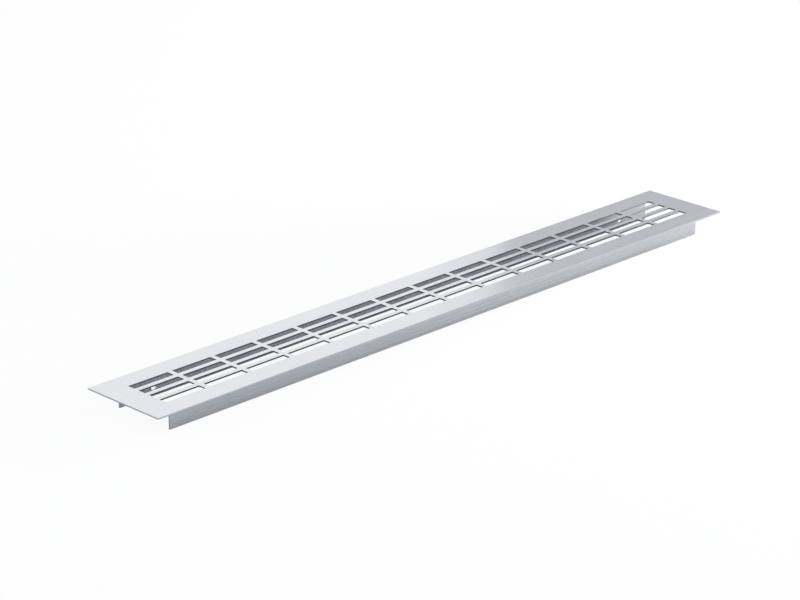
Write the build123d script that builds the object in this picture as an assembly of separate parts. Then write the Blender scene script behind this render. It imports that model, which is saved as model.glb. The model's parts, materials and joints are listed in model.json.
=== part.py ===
from build123d import *
import math
import os

# A recessed ventilation grille, made from one aluminium extrusion.
# X runs along the extrusion, Y across it from front to rear, and Z up.
# The toes of the two legs stand on z = 0, and the visible face is on top.
# Sizes are in millimetres.

# Face plate
plate_length = 480.0
plate_width = 60.0
plate_thickness = 1.0
face_edge_radius = 0.1

# Legs that reach down into the cut-out
overall_height = 14.0
leg_thickness = 1.2
flange_overhang = 8.0
leg_end_setback = 15.0
root_radius = 0.6
toe_radius = 0.3

# Fine grip grooves along the outer face of each leg
groove_width = 0.25
groove_depth = 0.04
groove_pitch = 2.5
lowest_groove_height = 3.0
plain_root_height = 4.5

# Punched slots in the plate
slot_length = 28.8
slot_width = 5.6
slot_corner_radius = 0.4
cross_bar_width = 3.2
long_bar_width = 3.4
least_end_frame = 17.0
least_leg_clearance = 4.0

# Screw holes, in the rear leg only
screw_hole_diameter = 4.0
screw_hole_height = 5.5
screw_hole_inset = 25.0

# Places that follow from the sizes above
underside_z = overall_height - plate_thickness
leg_outer_y = plate_width / 2 - flange_overhang
leg_inner_y = leg_outer_y - leg_thickness
leg_length = plate_length - 2 * leg_end_setback


def copies_that_fit(room, size, gap):
    """How many copies of a size fit side by side into a room, with a gap between them."""
    return math.floor((room + gap) / (size + gap))


def groove_notch(height):
    """The V of one grip groove, cut into the rear leg's outer face at a height above the toe."""
    return Polygon(
        (leg_outer_y, height - groove_width / 2),
        (leg_outer_y, height + groove_width / 2),
        (leg_outer_y - groove_depth, height),
        align=None,
    )


def leg_section():
    """The rear leg across the extrusion: a straight wall with a rounded toe and grip grooves."""
    middle_y = (leg_outer_y + leg_inner_y) / 2
    leg = Pos(middle_y, underside_z / 2) * Rectangle(leg_thickness, underside_z)
    leg = fillet(leg.vertices().group_by(Axis.Y)[0], toe_radius)
    grooved_height = underside_z - plain_root_height - lowest_groove_height
    for number in range(math.floor(grooved_height / groove_pitch) + 1):
        height = lowest_groove_height + number * groove_pitch
        leg -= groove_notch(height)
    return leg


def profile_section():
    """The whole extrusion across its length: the plate, and one leg mirrored to the other side."""
    plate_middle_z = overall_height - plate_thickness / 2
    leg = leg_section()
    section = Pos(0, plate_middle_z) * Rectangle(plate_width, plate_thickness)
    section += [leg, mirror(leg, Plane.YZ)]
    underside = section.vertices().filter_by_position(Axis.Y, underside_z, underside_z)
    roots = underside.sort_by(Axis.X)[1:-1]
    section = fillet(roots, root_radius)
    return fillet(section.vertices().group_by(Axis.Y)[-1], face_edge_radius)


def extruded_profile():
    """The profile as it leaves the die, sawn to length."""
    start = Plane.YZ.offset(-plate_length / 2)
    return extrude(start * profile_section(), plate_length)


def leg_cut_back(side):
    """The room milled free under one end of the plate, up to its underside."""
    width = 2 * (leg_outer_y + root_radius)
    block = Box(leg_end_setback, width, underside_z, align=(Align.MAX, Align.CENTER, Align.MIN))
    if side < 0:
        block = mirror(block, Plane.YZ)
    return Pos(side * plate_length / 2, 0, 0) * block


def slot_punch():
    """One slot through the plate, with the small corner radius of its punch."""
    outline = RectangleRounded(slot_length, slot_width, slot_corner_radius)
    return extrude(Plane.XY.offset(underside_z) * outline, plate_thickness)


def slot_places():
    """The grid of slots, centred on the plate and clear of the legs."""
    columns = copies_that_fit(plate_length - 2 * least_end_frame, slot_length, cross_bar_width)
    rows = copies_that_fit(2 * (leg_inner_y - least_leg_clearance), slot_width, long_bar_width)
    return GridLocations(slot_length + cross_bar_width, slot_width + long_bar_width, columns, rows)


def screw_holes():
    """Two clearance holes along Y through the rear leg, as far from its one end as from its other."""
    hole_x = leg_length / 2 - screw_hole_inset
    middle_y = (leg_outer_y + leg_inner_y) / 2
    drill = Rot(90, 0, 0) * Cylinder(screw_hole_diameter / 2, 2 * leg_thickness)
    return [Pos(side * hole_x, middle_y, screw_hole_height) * drill for side in (-1, 1)]


def make_grille():
    """The sawn profile, with its legs cut back, its slots punched and its screw holes drilled."""
    grille = extruded_profile()
    grille -= [leg_cut_back(side) for side in (-1, 1)]
    punch = slot_punch()
    grille -= [place * punch for place in slot_places()]
    grille -= screw_holes()
    return grille


os.makedirs("parts", exist_ok=True)
export_step(make_grille(), "parts/grille.step")
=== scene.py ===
import json
import math

import bmesh
import bpy
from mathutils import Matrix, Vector


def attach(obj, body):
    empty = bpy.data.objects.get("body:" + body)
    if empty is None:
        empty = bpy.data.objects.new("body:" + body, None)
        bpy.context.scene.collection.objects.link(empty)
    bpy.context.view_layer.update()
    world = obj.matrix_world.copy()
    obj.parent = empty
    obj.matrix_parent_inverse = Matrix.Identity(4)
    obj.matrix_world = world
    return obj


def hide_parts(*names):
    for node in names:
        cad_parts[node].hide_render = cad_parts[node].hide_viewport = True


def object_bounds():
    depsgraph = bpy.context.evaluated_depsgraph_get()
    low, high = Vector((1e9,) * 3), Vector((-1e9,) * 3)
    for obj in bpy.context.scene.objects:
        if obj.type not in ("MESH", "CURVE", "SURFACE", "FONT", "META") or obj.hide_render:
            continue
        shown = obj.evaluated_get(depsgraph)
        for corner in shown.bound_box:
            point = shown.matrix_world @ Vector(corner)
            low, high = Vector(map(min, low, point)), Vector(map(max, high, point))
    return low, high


# A recessed aluminium ventilation grille, standing on a white floor as in the photograph.
# The shape is the CAD body's. This scene breaks its edges, gives it its finish and lights it.
# All lengths are in metres.

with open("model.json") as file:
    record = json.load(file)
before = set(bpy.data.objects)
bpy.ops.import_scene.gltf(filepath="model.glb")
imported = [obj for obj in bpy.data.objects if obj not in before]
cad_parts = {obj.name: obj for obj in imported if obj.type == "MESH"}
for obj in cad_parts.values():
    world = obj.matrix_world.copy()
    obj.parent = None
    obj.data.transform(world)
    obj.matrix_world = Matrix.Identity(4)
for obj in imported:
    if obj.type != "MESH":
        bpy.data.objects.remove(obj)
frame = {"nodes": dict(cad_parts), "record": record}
cad_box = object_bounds()
mounts = {mount["name"]: mount for mount in frame["record"]["mounts"]}

# Camera
CAMERA_PLACE = Vector((-1.1649, -1.1410, 0.6360))
CAMERA_AZIMUTH = math.radians(-44.978)
CAMERA_DROP = math.radians(21.025)
CAMERA_LENS = 130.165
SENSOR_WIDTH = 36.0

# World: white to the camera and in reflections, and a cool fill as light
STUDIO_WHITE = (1.0, 1.0, 1.0, 1.0)
STUDIO_FILL = (0.45, 0.495, 0.61, 1.0)

# Soft lights: place, size and power
RIGHT_LIGHT = ((1.3, -0.36, 0.42), (0.8, 0.5), 43.0)
LEFT_LIGHT = ((-0.6, 0.3, 0.2), (0.3, 0.2), 0.76)
LIGHT_AIM = Vector((0.1, -0.05, 0.0))
LIGHT_COLOUR = (1.0, 0.985, 0.95)

# Cards behind the grille, which the right half of its face reflects
BACK_CARD_Y = 0.2
BACK_CARD_HEIGHT = 0.6
CARD_SPLIT_X = 0.062
CARD_BEARING = math.radians(42.9)
GREY_CARD_WIDTH = 0.9
GREY_CARD_COLOUR = (0.615, 0.62, 0.655, 1.0)
PALE_CARD_WIDTH = 0.07
PALE_CARD_COLOUR = (0.93, 0.935, 0.945, 1.0)

# Grey card far in front, which the left half of the front leg reflects
FRONT_CARD_SPLIT = Vector((-0.13, -0.022))
FRONT_CARD_DISTANCE = 0.8
FRONT_CARD_WIDTH = 0.8
FRONT_CARD_HEIGHT = 0.5
FRONT_CARD_COLOUR = (0.35, 0.35, 0.36, 1.0)

# Flag past the right end, which keeps the right light off the slots
FLAG_X = 0.3
FLAG_FRONT = -0.035
FLAG_BACK = 0.05
FLAG_BOTTOM = 0.04
FLAG_TOP = 0.3
FLAG_COLOUR = (0.05, 0.05, 0.05, 1.0)

# Floor: its size, its paint as the light and as the camera see it, and the share that glows white
FLOOR_SIZE = 12.0
FLOOR_COLOUR = (0.555, 0.56, 0.57, 1.0)
FLOOR_SHOWN_COLOUR = (0.9, 0.9, 0.9, 1.0)
FLOOR_SHOWN_WHITE = 0.93
FLOOR_GLOSSY_WHITE = 0.04

# Anodised aluminium: colours and roughness
SILVER_DEEP = (0.725, 0.735, 0.76, 1.0)
SILVER_LIGHT = (0.805, 0.813, 0.837, 1.0)
# The walls of the slots and holes are coloured darker than the silver. This is painted shade, standing
# in for the shade inside them.
CUT_WALL_PAINTED_SHADE = (0.46, 0.465, 0.48, 1.0)
SATIN_ROUGHNESS = (0.235, 0.265)
LINE_ROUGHNESS = 0.03
SAWN_ROUGHER = 0.16
CUT_SMOOTHER = 0.12

# Its fine structure: how often it changes per metre along X, Y and Z, and its levels of detail
DIE_LINES = ((3.0, 2600.0, 2600.0), 4.0)
BROAD_LINES = ((1.5, 420.0, 420.0), 2.0)
SAW_LINES = ((900.0, 60.0, 3200.0), 3.0)
SHEAR_LINES = ((5200.0, 5200.0, 300.0), 3.0)
GRAIN = ((14000.0, 14000.0, 14000.0), 2.0)
CLOUDS = ((22.0, 30.0, 30.0), 3.0)
NOISE_ROUGHNESS = 0.55
NOISE_LOW = 0.3
NOISE_HIGH = 0.7
DIE_LINE_SHARE = 0.6
LINE_TONE_SHARE = 0.6

# How deep that structure is
LINE_DEPTH = 0.000002
SAW_DEPTH = 0.000006
SHEAR_DEPTH = 0.00001
GRAIN_DEPTH = 0.0000005

# Where the slots are punched and the screw holes drilled, with a margin around them
MM = 0.001
MARGIN = 0.00005
LEG_THICKNESS = 0.0012
SLOT_FIELD_X = 0.2245
SLOT_FIELD_Y = 0.018
UNDERSIDE = mounts["flange_seat_front"]["pos_m"][2] - MARGIN
HOLE_X = mounts["screw_holes"]["dims"]["spacing_x_mm"] * MM / 2
HOLE_Y, HOLE_Z = mounts["screw_holes"]["pos_m"][1:]
HOLE_REACH = mounts["screw_holes"]["dims"]["hole_r_mm"] * MM + MARGIN
LEG_REACH = LEG_THICKNESS / 2 + MARGIN

# A slot's wall faces up less than this, a hole's wall across less, and a sawn end along X more
SLOT_WALL_UPWARD = 0.3
HOLE_WALL_ACROSS = 0.5
SAWN_END_ALONG = 0.8

# Edges
SAME_POINT = 0.000002
FLAT_ANGLE = math.radians(0.3)
SHARP_ANGLE = math.radians(58)
FACE_HEIGHT = cad_box[1].z
FACE_RIM_ROUNDING = 0.00004
EDGE_BREAK = 0.00003
ROUND_PROFILE = 0.5

# Shading: it turns smoothly over smaller angles than these, and large sides set it
SMOOTH_ANGLE = math.radians(20)
GROOVE_SMOOTH_ANGLE = math.radians(2)
LARGE_SIDE_WEIGHT = 100

# The grooved band on the outside of the legs
GROOVES_OUTSIDE = 0.0218
GROOVES_ABOVE = 0.0005
GROOVES_BELOW = 0.012


def feed(tree, socket, value):
    """Give a socket a value, or link it to another node's output."""
    if isinstance(value, bpy.types.NodeSocket):
        tree.links.new(value, socket)
    else:
        socket.default_value = value


def node(tree, kind, **values):
    """A shader node with its inputs and settings filled in by name."""
    made = tree.nodes.new(kind)
    for name, value in values.items():
        label = name.replace("_", " ").title()
        if label in made.inputs:
            feed(tree, made.inputs[label], value)
        else:
            setattr(made, name, value)
    return made


def calculate(tree, operation, *values):
    """One calculation with up to three values, which are numbers or other nodes' outputs."""
    made = node(tree, "ShaderNodeMath", operation=operation)
    for socket, value in zip(made.inputs, values):
        feed(tree, socket, value)
    return made.outputs["Value"]


def product(tree, *values):
    """Any number of values multiplied. For masks it is where all of them hold."""
    total = values[0]
    for value in values[1:]:
        total = calculate(tree, "MULTIPLY", total, value)
    return total


def mixed_colour(tree, share, first, second):
    """A colour between two others."""
    made = node(tree, "ShaderNodeMix", data_type="RGBA", factor=share, a=first, b=second)
    return made.outputs["Result"]


def mixed_shader(tree, share, first, second):
    """A shader between two others."""
    made = node(tree, "ShaderNodeMixShader")
    for socket, value in zip(made.inputs, (share, first, second)):
        feed(tree, socket, value)
    return made.outputs["Shader"]


def new_material(name):
    """A material and its empty node tree."""
    material = bpy.data.materials.new(name)
    material.use_nodes = True
    material.node_tree.nodes.clear()
    return material, material.node_tree


def streaks(tree, position, scales, detail):
    """Noise drawn out along the directions with a small scale."""
    stretched = node(tree, "ShaderNodeMapping", vector=position, scale=scales)
    noise = node(
        tree,
        "ShaderNodeTexNoise",
        vector=stretched.outputs["Vector"],
        scale=1.0,
        detail=detail,
        roughness=NOISE_ROUGHNESS,
    )
    return noise.outputs["Fac"]


def spread(tree, noise, low, high):
    """Noise spread from its usual range onto another."""
    made = node(
        tree,
        "ShaderNodeMapRange",
        value=noise,
        from_min=NOISE_LOW,
        from_max=NOISE_HIGH,
        to_min=low,
        to_max=high,
    )
    return made.outputs["Result"]


def relief(tree, height, depth, below=None):
    """A fine relief of some depth, on top of another one."""
    made = node(tree, "ShaderNodeBump", height=height, strength=1.0, distance=depth)
    if below is not None:
        feed(tree, made.inputs["Normal"], below)
    return made.outputs["Normal"]


def cut_masks(tree, position):
    """Where the metal is sawn across, and where a slot or hole is cut through it."""
    normal = node(tree, "ShaderNodeNewGeometry").outputs["True Normal"]
    facing = node(tree, "ShaderNodeSeparateXYZ", vector=normal)
    place = node(tree, "ShaderNodeSeparateXYZ", vector=position)
    along, across, upward = (calculate(tree, "ABSOLUTE", axis) for axis in facing.outputs)
    from_middle = calculate(tree, "ABSOLUTE", place.outputs["X"])
    punched = product(
        tree,
        calculate(tree, "LESS_THAN", from_middle, SLOT_FIELD_X),
        calculate(tree, "LESS_THAN", calculate(tree, "ABSOLUTE", place.outputs["Y"]), SLOT_FIELD_Y),
        calculate(tree, "GREATER_THAN", place.outputs["Z"], UNDERSIDE),
        calculate(tree, "LESS_THAN", upward, SLOT_WALL_UPWARD),
    )
    drilled = product(
        tree,
        calculate(tree, "COMPARE", from_middle, HOLE_X, HOLE_REACH),
        calculate(tree, "COMPARE", place.outputs["Y"], HOLE_Y, LEG_REACH),
        calculate(tree, "COMPARE", place.outputs["Z"], HOLE_Z, HOLE_REACH),
        calculate(tree, "LESS_THAN", across, HOLE_WALL_ACROSS),
    )
    cut = calculate(tree, "MAXIMUM", punched, drilled)
    end = calculate(tree, "GREATER_THAN", along, SAWN_END_ALONG)
    return product(tree, end, calculate(tree, "SUBTRACT", 1.0, cut)), cut


def anodised_aluminium():
    """Satin silver anodising: a matt etched grain over the fine lines of the extrusion, with painted
    shade on the walls of the slots and holes.
    """
    material, tree = new_material("anodised_aluminium")
    position = node(tree, "ShaderNodeTexCoord").outputs["Object"]
    sawn, cut = cut_masks(tree, position)
    plain = calculate(tree, "SUBTRACT", 1.0, calculate(tree, "MAXIMUM", sawn, cut))
    clouds = streaks(tree, position, *CLOUDS)
    saw_lines = streaks(tree, position, *SAW_LINES)
    shear_lines = streaks(tree, position, *SHEAR_LINES)
    lines = calculate(
        tree,
        "ADD",
        product(tree, streaks(tree, position, *DIE_LINES), DIE_LINE_SHARE),
        product(tree, streaks(tree, position, *BROAD_LINES), 1 - DIE_LINE_SHARE),
    )

    surface = relief(tree, product(tree, lines, plain), LINE_DEPTH)
    surface = relief(tree, product(tree, saw_lines, sawn), SAW_DEPTH, surface)
    surface = relief(tree, product(tree, shear_lines, cut), SHEAR_DEPTH, surface)
    surface = relief(tree, streaks(tree, position, *GRAIN), GRAIN_DEPTH, surface)

    uneven = spread(tree, lines, -LINE_ROUGHNESS, LINE_ROUGHNESS)
    roughness = calculate(tree, "ADD", uneven, spread(tree, clouds, *SATIN_ROUGHNESS))
    roughness = calculate(tree, "ADD", roughness, product(tree, sawn, SAWN_ROUGHER))
    roughness = calculate(tree, "SUBTRACT", roughness, product(tree, cut, CUT_SMOOTHER))

    line_tone = spread(tree, lines, 0.0, LINE_TONE_SHARE)
    tone = calculate(tree, "ADD", line_tone, spread(tree, clouds, 0.0, 1 - LINE_TONE_SHARE))
    silver = mixed_colour(tree, tone, SILVER_DEEP, SILVER_LIGHT)
    # Where the slots and holes are cut, the silver gives way to a darker colour, which is painted shade.
    shader = node(
        tree,
        "ShaderNodeBsdfPrincipled",
        metallic=1.0,
        base_color=mixed_colour(tree, cut, silver, CUT_WALL_PAINTED_SHADE),
        roughness=roughness,
        normal=surface,
    )
    node(tree, "ShaderNodeOutputMaterial", surface=shader.outputs["BSDF"])
    return material


def sharp_edges(mesh):
    """The edges at which two flat sides meet at a sharp angle."""
    return [edge for edge in mesh.edges if edge.is_manifold and edge.calc_face_angle() > SHARP_ANGLE]


def on_face(edge):
    """Whether an edge lies in the visible face."""
    return all(abs(end.co.z - FACE_HEIGHT) < SAME_POINT for end in edge.verts)


def on_grooved_band(edge):
    """Whether an edge lies in the grooved outside of a leg."""
    places = [end.co for end in edge.verts]
    return all(abs(p.y) > GROOVES_OUTSIDE and GROOVES_ABOVE < p.z < GROOVES_BELOW for p in places)


def break_edges(mesh, edges, width, segments):
    """A small round along some edges, or a flat where it has only one segment."""
    bmesh.ops.bevel(
        mesh, geom=edges, offset=width, segments=segments, profile=ROUND_PROFILE, affect="EDGES"
    )


def grille_body(cad_body, material):
    """The grille with the fine rounding that its punched, sawn and anodised edges have."""
    mesh = bmesh.new()
    mesh.from_mesh(cad_body.data)
    bmesh.ops.remove_doubles(mesh, verts=mesh.verts, dist=SAME_POINT)
    bmesh.ops.dissolve_limit(mesh, angle_limit=FLAT_ANGLE, verts=mesh.verts, edges=mesh.edges)
    rims = [edge for edge in sharp_edges(mesh) if on_face(edge)]
    break_edges(mesh, rims, FACE_RIM_ROUNDING, segments=3)
    break_edges(mesh, sharp_edges(mesh), EDGE_BREAK, segments=1)
    for side in mesh.faces:
        side.smooth = True
        side.material_index = 0
    for edge in mesh.edges:
        if edge.is_manifold:
            limit = GROOVE_SMOOTH_ANGLE if on_grooved_band(edge) else SMOOTH_ANGLE
            edge.smooth = edge.calc_face_angle() < limit
    data = bpy.data.meshes.new("grille_body")
    mesh.to_mesh(data)
    mesh.free()
    data.materials.append(material)
    piece = bpy.data.objects.new("grille_body", data)
    bpy.context.scene.collection.objects.link(piece)
    level = piece.modifiers.new("flat_sides", "WEIGHTED_NORMAL")
    level.keep_sharp = True
    level.weight = LARGE_SIDE_WEIGHT
    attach(piece, "root")
    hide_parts("grille")
    return piece


def make_camera():
    """The camera, where the photograph was taken from."""
    data = bpy.data.cameras.new("camera")
    data.lens = CAMERA_LENS
    data.sensor_width = SENSOR_WIDTH
    camera = bpy.data.objects.new("camera", data)
    camera.location = CAMERA_PLACE
    camera.rotation_euler = (math.pi / 2 - CAMERA_DROP, 0.0, CAMERA_AZIMUTH)
    bpy.context.scene.collection.objects.link(camera)
    bpy.context.scene.camera = camera


def make_world():
    """White wherever it is seen, straight or in a reflection, and a lower fill as light."""
    world = bpy.data.worlds.new("studio")
    bpy.context.scene.world = world
    world.use_nodes = True
    tree = world.node_tree
    tree.nodes.clear()
    path = node(tree, "ShaderNodeLightPath")
    seen = calculate(tree, "MAXIMUM", path.outputs["Is Camera Ray"], path.outputs["Is Glossy Ray"])
    seen = calculate(tree, "MAXIMUM", seen, path.outputs["Is Transmission Ray"])
    fill = node(tree, "ShaderNodeBackground", color=STUDIO_FILL)
    white = node(tree, "ShaderNodeBackground", color=STUDIO_WHITE)
    backdrop = mixed_shader(tree, seen, fill.outputs["Background"], white.outputs["Background"])
    node(tree, "ShaderNodeOutputWorld", surface=backdrop)


def flat_piece(name, corners, material):
    """A four-cornered stage piece that isn't part of the object."""
    mesh = bpy.data.meshes.new(name)
    mesh.from_pydata(corners, [], [(0, 1, 2, 3)])
    mesh.materials.append(material)
    piece = bpy.data.objects.new(name, mesh)
    bpy.context.scene.collection.objects.link(piece)
    return piece


def make_floor():
    """White to the camera, and a lit grey to the metal and the light.

    What doesn't glow white is lit, so the floor keeps the grille's shadow. The metal sees a greyer
    floor than the camera does, because the photograph's legs are grey though they stand on white.
    """
    material, tree = new_material("floor_white")
    path = node(tree, "ShaderNodeLightPath")
    seen = calculate(tree, "MAXIMUM", path.outputs["Is Camera Ray"], path.outputs["Is Transmission Ray"])
    white = calculate(
        tree,
        "MAXIMUM",
        product(tree, seen, FLOOR_SHOWN_WHITE),
        product(tree, path.outputs["Is Glossy Ray"], FLOOR_GLOSSY_WHITE),
    )
    paint = mixed_colour(tree, seen, FLOOR_COLOUR, FLOOR_SHOWN_COLOUR)
    lit = node(tree, "ShaderNodeBsdfDiffuse", color=paint)
    glow = node(tree, "ShaderNodeEmission", color=STUDIO_WHITE)
    shader = mixed_shader(tree, white, lit.outputs["BSDF"], glow.outputs["Emission"])
    node(tree, "ShaderNodeOutputMaterial", surface=shader)
    half = FLOOR_SIZE / 2
    corners = [(-half, -half, 0), (half, -half, 0), (half, half, 0), (-half, half, 0)]
    flat_piece("floor", corners, material)


def make_card(name, start, end, height, colour):
    """An upright card between two points of the floor, which shows in reflections and nowhere else."""
    material, tree = new_material(name)
    glow = node(tree, "ShaderNodeEmission", color=colour)
    node(tree, "ShaderNodeOutputMaterial", surface=glow.outputs["Emission"])
    corners = [(*start, 0.0), (*end, 0.0), (*end, height), (*start, height)]
    card = flat_piece(name, corners, material)
    card.visible_camera = False
    card.visible_diffuse = False
    card.visible_shadow = False


def make_back_cards():
    """A grey card and a pale strip beside it, behind the right half.

    They meet where the camera's view goes on to, at CARD_BEARING, from CARD_SPLIT_X on the face.
    """
    grey_start = BACK_CARD_Y / math.tan(CARD_BEARING) + CARD_SPLIT_X
    grey_end = grey_start + GREY_CARD_WIDTH
    pale_start = grey_start - PALE_CARD_WIDTH
    for name, start, end, colour in (
        ("card_grey", grey_start, grey_end, GREY_CARD_COLOUR),
        ("card_pale", pale_start, grey_start, PALE_CARD_COLOUR),
    ):
        make_card(name, (start, BACK_CARD_Y), (end, BACK_CARD_Y), BACK_CARD_HEIGHT, colour)


def make_front_card():
    """A grey card whose near edge stands where the camera sees it reflected at the split point."""
    view = FRONT_CARD_SPLIT - CAMERA_PLACE.xy
    ray = Vector((view.x, -view.y)).normalized()
    start = FRONT_CARD_SPLIT + FRONT_CARD_DISTANCE * ray
    end = start + FRONT_CARD_WIDTH * Vector((ray.y, -ray.x))
    make_card("card_front", start, end, FRONT_CARD_HEIGHT, FRONT_CARD_COLOUR)


def make_flag():
    """A dark board that shades the slots and isn't seen itself."""
    material, tree = new_material("flag_black")
    dull = node(tree, "ShaderNodeBsdfDiffuse", color=FLAG_COLOUR)
    node(tree, "ShaderNodeOutputMaterial", surface=dull.outputs["BSDF"])
    low = [(FLAG_X, FLAG_FRONT, FLAG_BOTTOM), (FLAG_X, FLAG_BACK, FLAG_BOTTOM)]
    high = [(FLAG_X, FLAG_BACK, FLAG_TOP), (FLAG_X, FLAG_FRONT, FLAG_TOP)]
    flag = flat_piece("flag", low + high, material)
    flag.visible_camera = False
    flag.visible_glossy = False


def soft_light(name, place, size, energy):
    """A soft light that looks at the grille and stays out of its reflections."""
    data = bpy.data.lights.new(name, "AREA")
    data.shape = "RECTANGLE"
    data.size, data.size_y = size
    data.energy = energy
    data.color = LIGHT_COLOUR
    lamp = bpy.data.objects.new(name, data)
    lamp.location = place
    lamp.rotation_euler = (LIGHT_AIM - lamp.location).to_track_quat("-Z", "Y").to_euler()
    lamp.visible_glossy = False
    bpy.context.scene.collection.objects.link(lamp)


make_camera()
make_world()
make_floor()
make_back_cards()
make_front_card()
make_flag()
soft_light("light_right", *RIGHT_LIGHT)
soft_light("light_left", *LEFT_LIGHT)
grille_body(frame["nodes"]["grille"], anodised_aluminium())

bpy.context.scene.view_settings.view_transform = "Standard"
